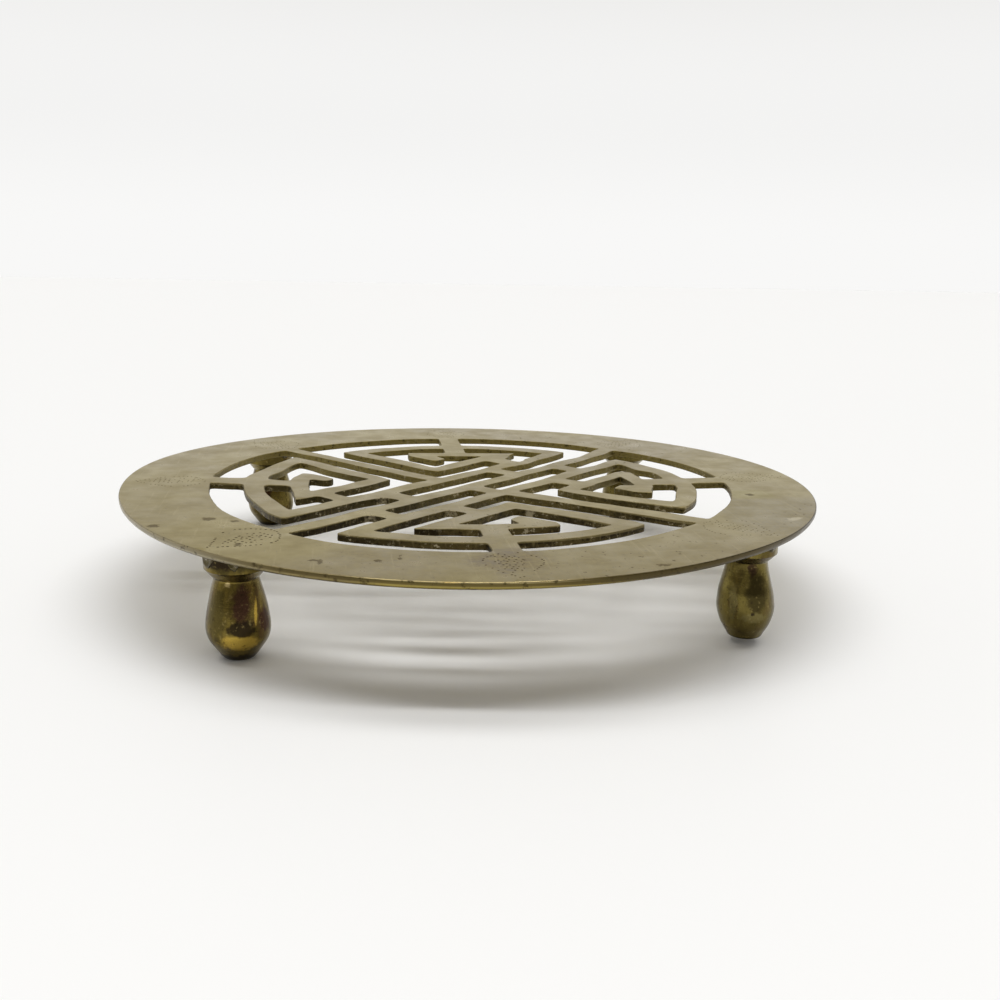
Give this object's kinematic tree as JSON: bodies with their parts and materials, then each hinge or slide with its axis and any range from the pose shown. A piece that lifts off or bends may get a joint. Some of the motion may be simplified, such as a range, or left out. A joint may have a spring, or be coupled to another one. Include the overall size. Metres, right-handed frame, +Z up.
{
  "type": "trivet",
  "caption": "Round flat metal trivet with an openwork fret inside a plain rim, raised on turned feet soldered under the rim.",
  "frame": {"origin": "on the surface that the feet stand on, straight below the middle of the round plate", "axes": "+Z up; -Y is the front; the fret's four spokes run along X and Y and the feet stand between them at 45 degrees"},
  "size_m": [0.1474, 0.1474, 0.0212],
  "materials": {
    "plate_brass": "worn satin sheet brass, dulled to a grey olive tan, with brighter edges",
    "foot_brass": "turned brass with a glossy dark brown and golden patina",
    "solder": "dull dark grey, uneven"
  },
  "bodies": {
    "root": {"plate": "plate_brass", "foot_front_left": "foot_brass", "foot_front_right": "foot_brass", "foot_rear_left": "foot_brass", "foot_rear_right": "foot_brass", "solder_front_left": "solder", "solder_front_right": "solder", "solder_rear_left": "solder", "solder_rear_right": "solder"}
  },
  "joints": []
}
